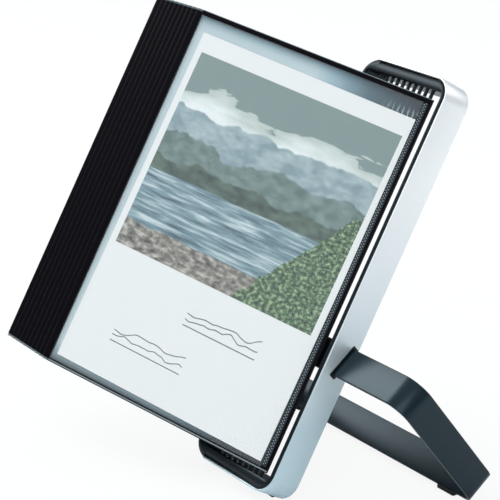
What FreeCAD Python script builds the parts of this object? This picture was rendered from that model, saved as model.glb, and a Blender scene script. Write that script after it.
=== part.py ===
"""Desk stand that holds ten hinged A4 pockets.

A rounded upright frame leans back on a rubber strip and on a ring foot bent from flat steel.
The foot's top bar passes through both walls of the frame. An aluminium shell wraps the right
wall and both arms. Ten flat pages hang on pins between two combs, one under the upper arm and
one on the lower arm, and lie turned to the left, each leaning on the one behind it.

Lengths are millimetres. Three places are used:
    frame place  X right, Y back, Z up along the frame; origin at the rear edge of its underside
    ring place   X right, Y across the strip, Z up in the plane of the ring; origin in the top bar
    page place   X from the hinge axis to the free edge, Y off the front face, Z up the hinge axis
"""
import FreeCAD, Part
import math
import os

from FreeCAD import Placement, Rotation, Vector

# Driving sizes
SIZES = {
    # upright frame
    "side_room": 14.55,
    "frame_depth": 27.0,
    "corner_radius": 17.0,
    "wall": 6.0,
    "arm": 11.4,
    "inner_corner": 3.0,
    "front_round": 3.2,
    "mouth_bevel": 1.0,
    "rear_bevel": 0.8,
    "lean_angle": 30.0,
    # aluminium shell
    "shell_thickness": 1.5,
    "shell_seam": 0.1,
    "shell_lip_bevel": 0.5,
    # combs
    "comb_thickness": 2.5,
    "comb_end_gap": 3.2,
    "comb_front_set": 2.6,
    "comb_rear_set": 4.0,
    "comb_play": 0.15,
    "comb_corner": 1.0,
    "socket_clearance": 0.05,
    "channel_width": 4.4,
    "channel_depth": 4.0,
    # ring foot
    "ring_half_width": 134.4,
    "ring_drop": 125.7,
    "strip_width": 26.5,
    "strip_thickness": 3.0,
    "ring_bend": 18.0,
    "ring_foot_bend": 10.0,
    "strip_edge_bevel": 0.5,
    "ring_height": 119.0,
    "ring_depth": 10.0,
    "ring_angle": 67.8,
    "weld_groove": 0.6,
    # bushes round the strip
    "bush_wall": 1.0,
    "bush_flange": 0.8,
    "bush_flange_height": 0.4,
    "bush_play": 0.1,
    "bush_bevel": 0.6,
    # rubber
    "strip_foot_length": 64.0,
    "strip_foot_start": -0.6,
    "strip_foot_width": 3.6,
    "strip_foot_height": 4.0,
    "strip_foot_proud": 1.0,
    "strip_foot_play": 0.1,
    "pad_length": 20.0,
    "pad_inset": 22.2,
    "pad_front": 1.0,
    "pad_back": 6.0,
    "pad_height": 7.0,
    "pad_play": 0.05,
    # pages
    "page_count": 10,
    "page_pitch": 7.1,
    "hinge_front_set": 4.8,
    "page_lift": 3.6,
    "page_head_gap": 6.6,
    "page_thickness": 2.0,
    "spine_tail": 3.9,
    "spine_strip": 3.5,
    "edge_strip": 7.0,
    "edge_thickness": 2.7,
    "top_strip": 3.0,
    "bottom_strip": 3.0,
    "page_corner": 3.0,
    "film_thickness": 0.25,
    "film_seat": 1.5,
    "film_play": 0.05,
    "slot_width": 0.8,
    "slot_side": 1.0,
    "front_page_angle": 22.9,
    "fan_step": 0.12,
    # hinge pins
    "pin_diameter": 3.0,
    "upper_grip": 5.0,
    "lower_grip": 6.3,
    "tail_side": 1.2,
    "tail_length": 8.0,
    "tail_play": 0.02,
    # sheet in the front page
    "sheet_width": 210.0,
    "sheet_height": 297.0,
    "sheet_thickness": 0.2,
    "sheet_side": 0.2,
    "sheet_end_room": 6.9,
    "sheet_head_room": 16.0,
    "sheet_back": 0.3,
}

# Sizes that follow from the sheet: it sets the page, and the page sets the frame
SIZES["page_width"] = (
    SIZES["spine_strip"] + SIZES["sheet_side"] + SIZES["sheet_width"] + SIZES["sheet_end_room"] + SIZES["edge_strip"]
)
SIZES["page_height"] = (
    SIZES["bottom_strip"] + SIZES["sheet_height"] + SIZES["sheet_head_room"] + SIZES["top_strip"]
)
SIZES["frame_height"] = (
    2 * SIZES["arm"] + SIZES["page_lift"] + SIZES["page_height"] + SIZES["page_head_gap"]
)
SIZES["frame_width"] = (
    2 * SIZES["wall"] + 2 * SIZES["side_room"] + SIZES["page_pitch"] * (SIZES["page_count"] - 1)
)

doc = FreeCAD.newDocument("pocket_stand")
sheet = doc.addObject("Spreadsheet::Sheet", "sizes")
for row, (alias, value) in enumerate(SIZES.items(), 1):
    sheet.set(f"A{row}", alias)
    sheet.set(f"B{row}", str(value))
    sheet.setAlias(f"B{row}", alias)
doc.recompute()

# Values worked out from the driving sizes
HALF_WIDTH = SIZES["frame_width"] / 2
STEP_X = SIZES["corner_radius"] - HALF_WIDTH
INSET = SIZES["shell_thickness"] + SIZES["shell_seam"]
LEAN = math.radians(SIZES["lean_angle"])
REACH = 40.0

FRAME_LIFT = SIZES["strip_foot_proud"]
FACET_RISE = SIZES["strip_foot_height"] - FRAME_LIFT
FACET_SHIFT = (FACET_RISE / math.tan(LEAN) - FACET_RISE * math.tan(LEAN)) / 2
FRAME_PLACE = Placement(Vector(0, FACET_SHIFT, FRAME_LIFT), Rotation(Vector(1, 0, 0), -SIZES["lean_angle"]))
RING_IN_FRAME = Placement(
    Vector(0, -SIZES["ring_depth"], SIZES["ring_height"]),
    Rotation(Vector(1, 0, 0), SIZES["ring_angle"]),
)
RING_PLACE = FRAME_PLACE * RING_IN_FRAME
PAGE_FLOOR = SIZES["arm"] + SIZES["page_lift"]
HINGE_DEPTH = SIZES["frame_depth"] - SIZES["hinge_front_set"]


def page_place(number):
    """Place of one page, counted from the front one."""
    half_row = SIZES["page_pitch"] * (SIZES["page_count"] - 1) / 2
    across = half_row - SIZES["page_pitch"] * (number - 1)
    angle = SIZES["front_page_angle"] - SIZES["fan_step"] * (number - 1)
    hinge = Placement(Vector(across, -HINGE_DEPTH, PAGE_FLOOR), Rotation(Vector(0, 0, 1), 180 + angle))
    return FRAME_PLACE * hinge


# Small helpers
def bind(thing, formulas):
    """Tie properties of an object to cells of the sheet."""
    for prop, formula in formulas.items():
        thing.setExpression(prop, formula)


def role_plane(body, role):
    """One of a body's own origin planes or axes."""
    return next(item for item in body.Origin.OriginFeatures if item.Role == role)


def new_body(name):
    """An empty body with its label."""
    body = doc.addObject("PartDesign::Body", name)
    body.Label = name
    return body


def body_block(body, name, corner, size, cut=False):
    """A box added to a body, or cut from it, from a corner and three lengths."""
    kind = "PartDesign::SubtractiveBox" if cut else "PartDesign::AdditiveBox"
    block = body.newObject(kind, name)
    block.AttachmentSupport = [(role_plane(body, "XY_Plane"), "")]
    block.MapMode = "FlatFace"
    bind(block, dict(zip(("Length", "Width", "Height"), size)))
    bind(block, dict(zip(("AttachmentOffset.Base.x", "AttachmentOffset.Base.y", "AttachmentOffset.Base.z"), corner)))
    return block


def body_bore(body, name, base, radius, height):
    """A round hole cut from a body along Z."""
    bore = body.newObject("PartDesign::SubtractiveCylinder", name)
    bore.AttachmentSupport = [(role_plane(body, "XY_Plane"), "")]
    bore.MapMode = "FlatFace"
    bind(bore, {"Radius": radius, "Height": height})
    bind(bore, dict(zip(("AttachmentOffset.Base.x", "AttachmentOffset.Base.y", "AttachmentOffset.Base.z"), base)))
    return bore


def body_fillet(body, name, radius, chosen):
    """Round the edges of a body's last feature that a test picks."""
    doc.recompute()
    base = body.Tip
    edges = [f"Edge{i}" for i, edge in enumerate(base.Shape.Edges, 1) if chosen(edge)]
    if not edges:
        raise RuntimeError(f"{name}: no edge to round")
    fillet = body.newObject("PartDesign::Fillet", name)
    fillet.Base = (base, edges)
    bind(fillet, {"Radius": radius})
    doc.recompute()
    return fillet


def body_chamfer(body, name, length, chosen):
    """Bevel the edges of a body's last feature that a test picks."""
    doc.recompute()
    base = body.Tip
    edges = [f"Edge{i}" for i, edge in enumerate(base.Shape.Edges, 1) if chosen(edge)]
    if not edges:
        raise RuntimeError(f"{name}: no edge to bevel")
    bevel = body.newObject("PartDesign::Chamfer", name)
    bevel.Base = (base, edges)
    bind(bevel, {"Size": length})
    doc.recompute()
    return bevel


def box(name, corner, size):
    """A box object from a corner and three lengths."""
    item = doc.addObject("Part::Box", name)
    bind(item, dict(zip(("Length", "Width", "Height"), size)))
    bind(item, dict(zip(("Placement.Base.x", "Placement.Base.y", "Placement.Base.z"), corner)))
    return item


def placed_box(name, size, place):
    """A box object from three lengths, set at a place worked out from the sizes."""
    item = doc.addObject("Part::Box", name)
    bind(item, dict(zip(("Length", "Width", "Height"), size)))
    item.Placement = place
    return item


def rod(name, base, radius, height):
    """A cylinder object along Z."""
    item = doc.addObject("Part::Cylinder", name)
    bind(item, {"Radius": radius, "Height": height})
    bind(item, dict(zip(("Placement.Base.x", "Placement.Base.y", "Placement.Base.z"), base)))
    return item


def cone(name, base, radius_low, radius_high, height):
    """A cone object along Z."""
    item = doc.addObject("Part::Cone", name)
    bind(item, {"Radius1": radius_low, "Radius2": radius_high, "Height": height})
    bind(item, dict(zip(("Placement.Base.x", "Placement.Base.y", "Placement.Base.z"), base)))
    return item


def fuse(name, *shapes):
    """Several objects as one solid."""
    item = doc.addObject("Part::MultiFuse", name)
    item.Shapes = list(shapes)
    item.Refine = True
    return item


def cut(name, base, tool):
    """One object less another."""
    item = doc.addObject("Part::Cut", name)
    item.Base = base
    item.Tool = tool
    return item


def group(name, *shapes):
    """Separate solids that share a node."""
    item = doc.addObject("Part::Compound", name)
    item.Links = list(shapes)
    return item


def fillet(name, base, radius, chosen):
    """Round the edges of an object that a test picks."""
    doc.recompute()
    edges = [(i, radius, radius) for i, edge in enumerate(base.Shape.Edges, 1) if chosen(edge)]
    if not edges:
        raise RuntimeError(f"{name}: no edge to round")
    item = doc.addObject("Part::Fillet", name)
    item.Base = base
    item.Edges = edges
    doc.recompute()
    return item


def chamfer(name, base, length, chosen):
    """Bevel the edges of an object that a test picks."""
    doc.recompute()
    edges = [(i, length, length) for i, edge in enumerate(base.Shape.Edges, 1) if chosen(edge)]
    if not edges:
        raise RuntimeError(f"{name}: no edge to bevel")
    item = doc.addObject("Part::Chamfer", name)
    item.Base = base
    item.Edges = edges
    doc.recompute()
    return item


def near(a, b):
    """Whether two lengths agree."""
    return abs(a - b) < 1e-4


def straight_along(edge, axis):
    """Whether an edge is a straight line along an axis."""
    if edge.Curve.TypeId != "Part::GeomLine":
        return False
    return abs(abs(edge.Curve.Direction.dot(axis)) - 1) < 1e-6


def lies_in(edge, y):
    """Whether an edge lies in the plane at one Y."""
    bounds = edge.BoundBox
    return near(bounds.YMin, y) and near(bounds.YMax, y)


X_AXIS = Vector(1, 0, 0)
Y_AXIS = Vector(0, 1, 0)
Z_AXIS = Vector(0, 0, 1)
nodes = {}


def keep(name, item, place):
    """Give a finished sub-part its label and place, and list it for export."""
    item.Label = name
    item.Placement = place
    nodes[name] = item


# Moulded frame: the right part stands back by the shell, the left part is full size
def core_frame():
    """Closed rounded frame: window, comb recesses, pin channels, bush slots, facet for the rubber."""
    right = new_body("frame_right_part")
    body_block(
        right, "right_block",
        ("-sizes.frame_width / 2 + sizes.corner_radius / 2", "-sizes.frame_depth",
         "sizes.shell_thickness + sizes.shell_seam"),
        ("sizes.frame_width - sizes.corner_radius / 2 - sizes.shell_thickness - sizes.shell_seam",
         "sizes.frame_depth", "sizes.frame_height - 2 * (sizes.shell_thickness + sizes.shell_seam)"),
    )
    body_fillet(
        right, "right_corners", "sizes.corner_radius - sizes.shell_thickness - sizes.shell_seam",
        lambda e: straight_along(e, Y_AXIS) and e.BoundBox.XMin > 0,
    )
    body_fillet(
        right, "right_front", "sizes.front_round",
        lambda e: lies_in(e, -SIZES["frame_depth"]) and e.BoundBox.XMax > 0,
    )
    left = new_body("frame_left_part")
    body_block(
        left, "left_block", ("-sizes.frame_width / 2", "-sizes.frame_depth", "0"),
        ("sizes.corner_radius", "sizes.frame_depth", "sizes.frame_height"),
    )
    body_fillet(
        left, "left_corners", "sizes.corner_radius - 0.001",
        lambda e: straight_along(e, Y_AXIS) and e.BoundBox.XMax < STEP_X - 1,
    )
    body_fillet(
        left, "left_front", "sizes.front_round",
        lambda e: lies_in(e, -SIZES["frame_depth"]) and e.BoundBox.XMin < STEP_X - 1,
    )
    blank = fuse("frame_blank", right, left)

    window = box(
        "window_tool",
        ("-sizes.frame_width / 2 + sizes.wall", "-sizes.frame_depth - 5", "sizes.arm"),
        ("sizes.frame_width - 2 * sizes.wall", "sizes.frame_depth + 10", "sizes.frame_height - 2 * sizes.arm"),
    )
    rounded_window = fillet(
        "rounded_window_tool", window, SIZES["inner_corner"], lambda e: straight_along(e, Y_AXIS),
    )
    opened = cut("frame_opened", blank, rounded_window)
    mouth = chamfer(
        "frame_mouth", opened, SIZES["mouth_bevel"],
        lambda e: lies_in(e, -SIZES["frame_depth"]) and inside_window(e),
    )
    rear = chamfer(
        "frame_rear", mouth, SIZES["rear_bevel"], lambda e: lies_in(e, 0) and inside_window(e),
    )

    recesses = [
        box(
            f"{side}_recess_tool",
            ("-sizes.frame_width / 2 + sizes.wall + sizes.comb_end_gap - sizes.comb_play",
             "-sizes.frame_depth + sizes.comb_front_set - sizes.comb_play", low),
            ("sizes.frame_width - 2 * (sizes.wall + sizes.comb_end_gap - sizes.comb_play)",
             "sizes.frame_depth - sizes.comb_front_set - sizes.comb_rear_set + 2 * sizes.comb_play",
             "sizes.comb_thickness + 1"),
        )
        for side, low in (
            ("upper", "sizes.frame_height - sizes.arm - 1"),
            ("lower", "sizes.arm - sizes.comb_thickness"),
        )
    ]
    channels = [
        box(
            f"{side}_channel_tool",
            ("-sizes.page_pitch * (sizes.page_count - 1) / 2 - sizes.channel_width / 2",
             "-sizes.frame_depth + sizes.hinge_front_set - sizes.channel_width / 2", low),
            ("sizes.page_pitch * (sizes.page_count - 1) + sizes.channel_width", "sizes.channel_width",
             "sizes.channel_depth + 1"),
        )
        for side, low in (
            ("upper", "sizes.frame_height - sizes.arm + sizes.comb_thickness - 1"),
            ("lower", "sizes.arm - sizes.comb_thickness - sizes.channel_depth"),
        )
    ]
    tools = recesses + channels + [bush_slot_tool("frame"), facet_tool("frame")]
    finished = cut("core_frame", rear, fuse("frame_tools", *tools))
    keep("core_frame", finished, FRAME_PLACE)


def inside_window(edge):
    """Whether an edge lies on the window's outline."""
    bounds = edge.BoundBox
    side = HALF_WIDTH - SIZES["wall"] + 1e-3
    low = SIZES["arm"] - 1e-3
    high = SIZES["frame_height"] - SIZES["arm"] + 1e-3
    return bounds.XMin >= -side and bounds.XMax <= side and bounds.ZMin >= low and bounds.ZMax <= high


def bush_slot_tool(owner):
    """The slot for both bushes: a bevelled bar across the whole frame, in frame place."""
    bar = box(
        f"{owner}_slot_bar",
        ("-sizes.frame_width", "-sizes.strip_width / 2 - sizes.bush_wall - 2 * sizes.bush_play",
         "-sizes.strip_thickness / 2 - sizes.bush_wall - 2 * sizes.bush_play"),
        ("2 * sizes.frame_width", "sizes.strip_width + 2 * sizes.bush_wall + 4 * sizes.bush_play",
         "sizes.strip_thickness + 2 * sizes.bush_wall + 4 * sizes.bush_play"),
    )
    bevelled = chamfer(
        f"{owner}_slot_tool", bar, SIZES["bush_bevel"], lambda e: straight_along(e, X_AXIS),
    )
    bevelled.Placement = RING_IN_FRAME
    return bevelled


def facet_tool(owner):
    """What is cut away for the rubber strip: level with the desk once the frame leans."""
    half = SIZES["strip_foot_length"] / 2 + SIZES["strip_foot_play"]
    front = SIZES["strip_foot_start"] - SIZES["strip_foot_play"]
    level = Placement(Vector(-half, front, SIZES["strip_foot_height"] - REACH), Rotation())
    return placed_box(
        f"{owner}_facet_tool",
        ("sizes.strip_foot_length + 2 * sizes.strip_foot_play", str(REACH), str(REACH)),
        FRAME_PLACE.inverse() * level,
    )


# Bent aluminium shell
def side_shell():
    """Shell round the right wall, its corners and both arms, with the slot for the bush."""
    block = box(
        "band_block",
        ("-sizes.frame_width / 2 + sizes.corner_radius + sizes.shell_seam", "-sizes.frame_depth", "0"),
        ("sizes.frame_width - sizes.corner_radius - sizes.shell_seam", "sizes.frame_depth", "sizes.frame_height"),
    )
    outer = fillet(
        "band_outer", block, SIZES["corner_radius"],
        lambda e: straight_along(e, Y_AXIS) and e.BoundBox.XMin > 0,
    )
    hollow = box(
        "band_hollow",
        ("-sizes.frame_width / 2", "-sizes.frame_depth - 5", "sizes.shell_thickness"),
        ("sizes.frame_width - sizes.shell_thickness", "sizes.frame_depth + 10",
         "sizes.frame_height - 2 * sizes.shell_thickness"),
    )
    inner = fillet(
        "band_inner", hollow, SIZES["corner_radius"] - SIZES["shell_thickness"],
        lambda e: straight_along(e, Y_AXIS) and e.BoundBox.XMin > 0,
    )
    band = chamfer(
        "band_lips", cut("band", outer, inner), SIZES["shell_lip_bevel"],
        lambda e: (lies_in(e, 0) or lies_in(e, -SIZES["frame_depth"])) and on_band_outline(e),
    )
    tools = fuse("shell_tools", bush_slot_tool("shell"), facet_tool("shell"))
    keep("side_shell", cut("side_shell", band, tools), FRAME_PLACE)


def on_band_outline(edge):
    """Whether an edge lies on the outer outline of the shell."""
    bounds = edge.BoundBox
    inner = SIZES["shell_thickness"] + 1e-3
    if bounds.ZMax < inner / 2 or bounds.ZMin > SIZES["frame_height"] - inner / 2:
        return bounds.XLength > 1
    return bounds.XMax > HALF_WIDTH - 1e-3


# Combs that carry the hinge pins
def comb(side):
    """A flat strip with ten sockets, bonded into the recess of one arm."""
    name = f"{side}_comb"
    body = new_body(name)
    floor = {"upper": "sizes.frame_height - sizes.arm", "lower": "sizes.arm - sizes.comb_thickness"}[side]
    body_block(
        body, f"{name}_plate",
        ("-sizes.frame_width / 2 + sizes.wall + sizes.comb_end_gap", "-sizes.frame_depth + sizes.comb_front_set",
         floor),
        ("sizes.frame_width - 2 * (sizes.wall + sizes.comb_end_gap)",
         "sizes.frame_depth - sizes.comb_front_set - sizes.comb_rear_set", "sizes.comb_thickness"),
    )
    body_chamfer(body, f"{name}_corners", "sizes.comb_corner", lambda e: straight_along(e, Z_AXIS))
    first = body_bore(
        body, f"{name}_socket",
        ("-sizes.page_pitch * (sizes.page_count - 1) / 2", "-sizes.frame_depth + sizes.hinge_front_set",
         f"{floor} - 1"),
        "sizes.pin_diameter / 2 + sizes.socket_clearance", "sizes.comb_thickness + 2",
    )
    doc.recompute()
    row = body.newObject("PartDesign::LinearPattern", f"{name}_sockets")
    row.Originals = [first]
    row.Direction = (role_plane(body, "X_Axis"), [""])
    bind(row, {"Length": "sizes.page_pitch * (sizes.page_count - 1)", "Occurrences": "sizes.page_count"})
    body.Tip = row
    keep(name, body, FRAME_PLACE)


# Ring foot in ring place
def foot_ring():
    """Flat steel bent to a closed ring, its two ends welded in the top bar between the walls."""
    block = box(
        "ring_block",
        ("-sizes.ring_half_width", "-sizes.strip_width / 2", "-sizes.ring_drop"),
        ("2 * sizes.ring_half_width", "sizes.strip_width", "sizes.ring_drop + sizes.strip_thickness / 2"),
    )
    hollow = box(
        "ring_hollow",
        ("-sizes.ring_half_width + sizes.strip_thickness", "-sizes.strip_width",
         "-sizes.ring_drop + sizes.strip_thickness"),
        ("2 * (sizes.ring_half_width - sizes.strip_thickness)", "2 * sizes.strip_width",
         "sizes.ring_drop - 1.5 * sizes.strip_thickness"),
    )
    outer = ring_bends("ring_outer", block, 0)
    inner = ring_bends("ring_inner", hollow, SIZES["strip_thickness"])
    half = SIZES["strip_width"] / 2
    loop = chamfer(
        "ring_loop", cut("ring_sharp", outer, inner), SIZES["strip_edge_bevel"],
        lambda e: lies_in(e, half) or lies_in(e, -half),
    )
    groove = placed_box(
        "ring_weld_tool",
        ("sizes.weld_groove", "2 * sizes.strip_width", "sizes.weld_groove"),
        Placement(
            Vector(0, -SIZES["strip_width"], -SIZES["strip_thickness"] / 2 - SIZES["weld_groove"] / math.sqrt(2)),
            Rotation(Y_AXIS, -45),
        ),
    )
    keep("foot_ring", cut("foot_ring", loop, groove), RING_PLACE)


def ring_bends(name, block, inside):
    """Round the four bends of the ring, the two beside the desk tighter than the upper two."""
    middle = -SIZES["ring_drop"] / 2
    lower = fillet(
        f"{name}_lower", block, SIZES["ring_foot_bend"] - inside,
        lambda e: straight_along(e, Y_AXIS) and e.BoundBox.ZMin < middle,
    )
    return fillet(
        name, lower, SIZES["ring_bend"] - inside,
        lambda e: straight_along(e, Y_AXIS) and e.BoundBox.ZMin > middle and near(
            abs(e.BoundBox.XMin), SIZES["ring_half_width"] - inside,
        ),
    )


# Bushes that line the frame's slots
def slot_bush(side):
    """Sleeve round the strip inside one wall, with a low flange on the outside."""
    name = f"slot_bush_{side}"
    body = new_body(name)
    inner_face = "sizes.frame_width / 2 - sizes.wall"
    start = {"right": inner_face, "left": "-sizes.frame_width / 2"}[side]
    flange = {
        "right": "sizes.frame_width / 2",
        "left": "-sizes.frame_width / 2 - sizes.bush_flange_height",
    }[side]
    across = "sizes.strip_width / 2 + sizes.bush_wall + sizes.bush_play"
    along = "sizes.strip_thickness / 2 + sizes.bush_wall + sizes.bush_play"
    body_block(
        body, f"{name}_sleeve", (start, f"-({across})", f"-({along})"),
        ("sizes.wall", f"2 * ({across})", f"2 * ({along})"),
    )
    body_chamfer(body, f"{name}_sleeve_bevel", "sizes.bush_bevel", lambda e: straight_along(e, X_AXIS))
    body_block(
        body, f"{name}_flange", (flange, f"-({across}) - sizes.bush_flange", f"-({along}) - sizes.bush_flange"),
        ("sizes.bush_flange_height", f"2 * ({across} + sizes.bush_flange)", f"2 * ({along} + sizes.bush_flange)"),
    )
    body_chamfer(
        body, f"{name}_flange_bevel", "sizes.bush_bevel",
        lambda e: straight_along(e, X_AXIS) and near(e.BoundBox.XLength, SIZES["bush_flange_height"])
        and abs(e.BoundBox.YMin) > SIZES["strip_width"] / 2 + SIZES["bush_wall"] + SIZES["bush_flange"] / 2,
    )
    body_block(
        body, f"{name}_hole",
        (f"{start} - 5", "-sizes.strip_width / 2 - sizes.bush_play", "-sizes.strip_thickness / 2 - sizes.bush_play"),
        ("sizes.wall + 10", "sizes.strip_width + 2 * sizes.bush_play", "sizes.strip_thickness + 2 * sizes.bush_play"),
        cut=True,
    )
    keep(name, body, RING_PLACE)


# Rubber
def front_foot():
    """Rubber strip in the facet under the frame, flat on the desk."""
    strip = box(
        "front_foot_block",
        ("-sizes.strip_foot_length / 2", "sizes.strip_foot_start", "0"),
        ("sizes.strip_foot_length", "sizes.strip_foot_width", "sizes.strip_foot_height"),
    )
    bevelled = chamfer("front_foot_strip", strip, 0.5, lambda e: straight_along(e, Z_AXIS))
    keep("front_foot_strip", bevelled, Placement())


def foot_pad(side):
    """Rubber block bonded under the lower edge of the base bar beside one bend, flat on the desk."""
    name = f"foot_pad_{side}"
    edge = RING_PLACE.multVec(Vector(0, -SIZES["strip_width"] / 2, -SIZES["ring_drop"] + SIZES["strip_thickness"] / 2))
    outer = SIZES["ring_half_width"] - SIZES["pad_inset"]
    start = {"right": outer - SIZES["pad_length"], "left": -outer}[side]
    block = box(
        f"{name}_block", (str(start), str(edge.y - SIZES["pad_front"]), "0"),
        ("sizes.pad_length", "sizes.pad_front + sizes.pad_back", "sizes.pad_height"),
    )
    bevelled = chamfer(f"{name}_bevelled", block, 0.8, lambda e: straight_along(e, Z_AXIS))
    corner = Vector(
        -SIZES["ring_half_width"],
        -SIZES["strip_width"] / 2 - SIZES["pad_play"],
        -SIZES["ring_drop"] - SIZES["pad_play"],
    )
    slot = placed_box(
        f"{name}_slot",
        ("2 * sizes.ring_half_width", "sizes.strip_width + 2 * sizes.pad_play",
         "sizes.pad_height + sizes.pad_back + sizes.strip_width"),
        RING_PLACE * Placement(corner, Rotation()),
    )
    keep(name, cut(name, bevelled, slot), Placement())


# Pages
def page_frame(number):
    """Black surround of one page: hinge strip, top and bottom strips and the thick free edge."""
    tag = f"{number:02d}"
    body = new_body(f"page_frame_{tag}")
    body_block(
        body, f"plate_{tag}", ("-sizes.spine_tail", "-sizes.page_thickness / 2", "0"),
        ("sizes.page_width + sizes.spine_tail - sizes.edge_strip / 2", "sizes.page_thickness", "sizes.page_height"),
    )
    body_chamfer(
        body, f"spine_bevel_{tag}", "sizes.page_thickness * 0.3",
        lambda e: straight_along(e, Z_AXIS) and near(e.BoundBox.XMin, -SIZES["spine_tail"]),
    )
    body_block(
        body, f"free_edge_{tag}", ("sizes.page_width - sizes.edge_strip", "-sizes.edge_thickness / 2", "0"),
        ("sizes.edge_strip", "sizes.edge_thickness", "sizes.page_height"),
    )
    body_fillet(
        body, f"free_corners_{tag}", "sizes.page_corner",
        lambda e: straight_along(e, Y_AXIS) and near(e.BoundBox.XMin, SIZES["page_width"]),
    )
    half = SIZES["edge_thickness"] / 2
    body_chamfer(
        body, f"free_bevel_{tag}", "sizes.edge_thickness * 0.3",
        lambda e: straight_along(e, Z_AXIS) and near(e.BoundBox.XMin, SIZES["page_width"])
        and near(abs(e.BoundBox.YMin), half),
    )
    body_block(
        body, f"window_{tag}", ("sizes.spine_strip", "-sizes.edge_thickness", "sizes.bottom_strip"),
        ("sizes.page_width - sizes.edge_strip - sizes.spine_strip", "2 * sizes.edge_thickness",
         "sizes.page_height - sizes.bottom_strip - sizes.top_strip"),
        cut=True,
    )
    for face, base in (
        ("front", "sizes.page_thickness / 2 - sizes.film_thickness - sizes.film_play"),
        ("rear", "-sizes.page_thickness / 2"),
    ):
        body_block(
            body, f"{face}_film_seat_{tag}",
            ("sizes.spine_strip - sizes.film_seat", base, "sizes.bottom_strip - sizes.film_seat"),
            ("sizes.page_width - sizes.edge_strip - sizes.spine_strip + 2 * sizes.film_seat",
             "sizes.film_thickness + sizes.film_play",
             "sizes.page_height - sizes.bottom_strip - sizes.top_strip + 2 * sizes.film_seat"),
            cut=True,
        )
    body_block(
        body, f"sheet_slot_{tag}",
        ("sizes.spine_strip + sizes.slot_side", "-sizes.slot_width / 2",
         "sizes.page_height - sizes.top_strip - 1"),
        ("sizes.page_width - sizes.edge_strip - sizes.spine_strip - 2 * sizes.slot_side", "sizes.slot_width",
         "sizes.top_strip + 2"),
        cut=True,
    )
    for end, base in (("upper", "sizes.page_height - sizes.tail_length"), ("lower", "0")):
        body_block(
            body, f"{end}_tail_hole_{tag}",
            ("-sizes.tail_side / 2 - sizes.tail_play", "-sizes.tail_side / 2 - sizes.tail_play", base),
            ("sizes.tail_side + 2 * sizes.tail_play", "sizes.tail_side + 2 * sizes.tail_play", "sizes.tail_length"),
            cut=True,
        )
    keep(f"page_frame_{tag}", body, page_place(number))


def page_pocket(number):
    """Clear front and rear films, each seated in the surround."""
    tag = f"{number:02d}"
    films = []
    for face, base in (
        ("front", "sizes.page_thickness / 2 - sizes.film_thickness - sizes.film_play"),
        ("rear", "-sizes.page_thickness / 2 + sizes.film_play"),
    ):
        films.append(box(
            f"{face}_film_{tag}",
            ("sizes.spine_strip - sizes.film_seat + sizes.film_play", base,
             "sizes.bottom_strip - sizes.film_seat + sizes.film_play"),
            ("sizes.page_width - sizes.edge_strip - sizes.spine_strip + 2 * (sizes.film_seat - sizes.film_play)",
             "sizes.film_thickness",
             "sizes.page_height - sizes.bottom_strip - sizes.top_strip + 2 * (sizes.film_seat - sizes.film_play)"),
        ))
    keep(f"page_pocket_{tag}", group(f"page_pocket_{tag}", *films), page_place(number))


def page_pins(number):
    """Hinge pins: a square tail in the surround and a round end that turns in the comb."""
    tag = f"{number:02d}"
    above = "sizes.frame_height - 2 * sizes.arm - sizes.page_lift - sizes.page_height"
    upper = fuse(
        f"upper_pin_{tag}",
        rod(f"upper_pin_end_{tag}", ("0", "0", "sizes.page_height"), "sizes.pin_diameter / 2",
            f"{above} + sizes.upper_grip"),
        pin_tail(f"upper_pin_tail_{tag}", "sizes.page_height - sizes.tail_length + 0.2"),
    )
    lower = fuse(
        f"lower_pin_{tag}",
        rod(f"lower_pin_end_{tag}", ("0", "0", "-sizes.page_lift - sizes.lower_grip"), "sizes.pin_diameter / 2",
            "sizes.page_lift + sizes.lower_grip"),
        pin_tail(f"lower_pin_tail_{tag}", "-0.2"),
    )
    keep(f"page_pins_{tag}", group(f"page_pins_{tag}", upper, lower), page_place(number))


def pin_tail(name, base):
    """The square end of a hinge pin."""
    return box(
        name, ("-sizes.tail_side / 2", "-sizes.tail_side / 2", base),
        ("sizes.tail_side", "sizes.tail_side", "sizes.tail_length"),
    )


def insert_sheet():
    """Printed A4 sheet that stands in the front page's pocket."""
    corner = Vector(
        SIZES["spine_strip"] + SIZES["sheet_side"], SIZES["sheet_back"],
        SIZES["bottom_strip"] + SIZES["film_play"],
    )
    item = placed_box(
        "insert_sheet", ("sizes.sheet_width", "sizes.sheet_thickness", "sizes.sheet_height"), Placement(),
    )
    keep("insert_sheet", item, page_place(1) * Placement(corner, Rotation()))


core_frame()
side_shell()
for side in ("upper", "lower"):
    comb(side)
foot_ring()
for side in ("right", "left"):
    slot_bush(side)
    foot_pad(side)
front_foot()
for number in range(1, SIZES["page_count"] + 1):
    page_frame(number)
    page_pocket(number)
    page_pins(number)
insert_sheet()
doc.recompute()

# Every object must have recomputed, and every sub-part must be sound, before anything is written
for item in doc.Objects:
    if "Invalid" in item.State or "Error" in item.State:
        raise RuntimeError(f"{item.Label}: {item.State}")
for name, item in nodes.items():
    if item.Shape.isNull() or not item.Shape.isValid() or not item.Shape.Solids:
        raise RuntimeError(f"{name}: no sound shape")

os.makedirs("parts", exist_ok=True)
for name, item in nodes.items():
    item.Shape.exportStep(f"parts/{name}.step")
    print(f"{name:22s} solids {len(item.Shape.Solids)}  volume {item.Shape.Volume / 1000:9.3f} cm3")
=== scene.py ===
"""Looks of a leaning desk stand with ten hinged clear pockets, a rounded frame and a ring foot.

Every size here is in millimetres until a point is turned into the row frame in metres.
Frame coordinates are (across, depth, height): across to the right, depth from the rear face out of
the front, height along the leaning frame. Page coordinates are (reach, off, height): reach from
the hinge axis to the free edge, off the page's front face, height from the page's lower edge.
"""

import logging
import math
from dataclasses import dataclass
from enum import Enum
from typing import Callable, Iterable, Sequence

import bpy
from mathutils import Matrix, Vector


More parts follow.
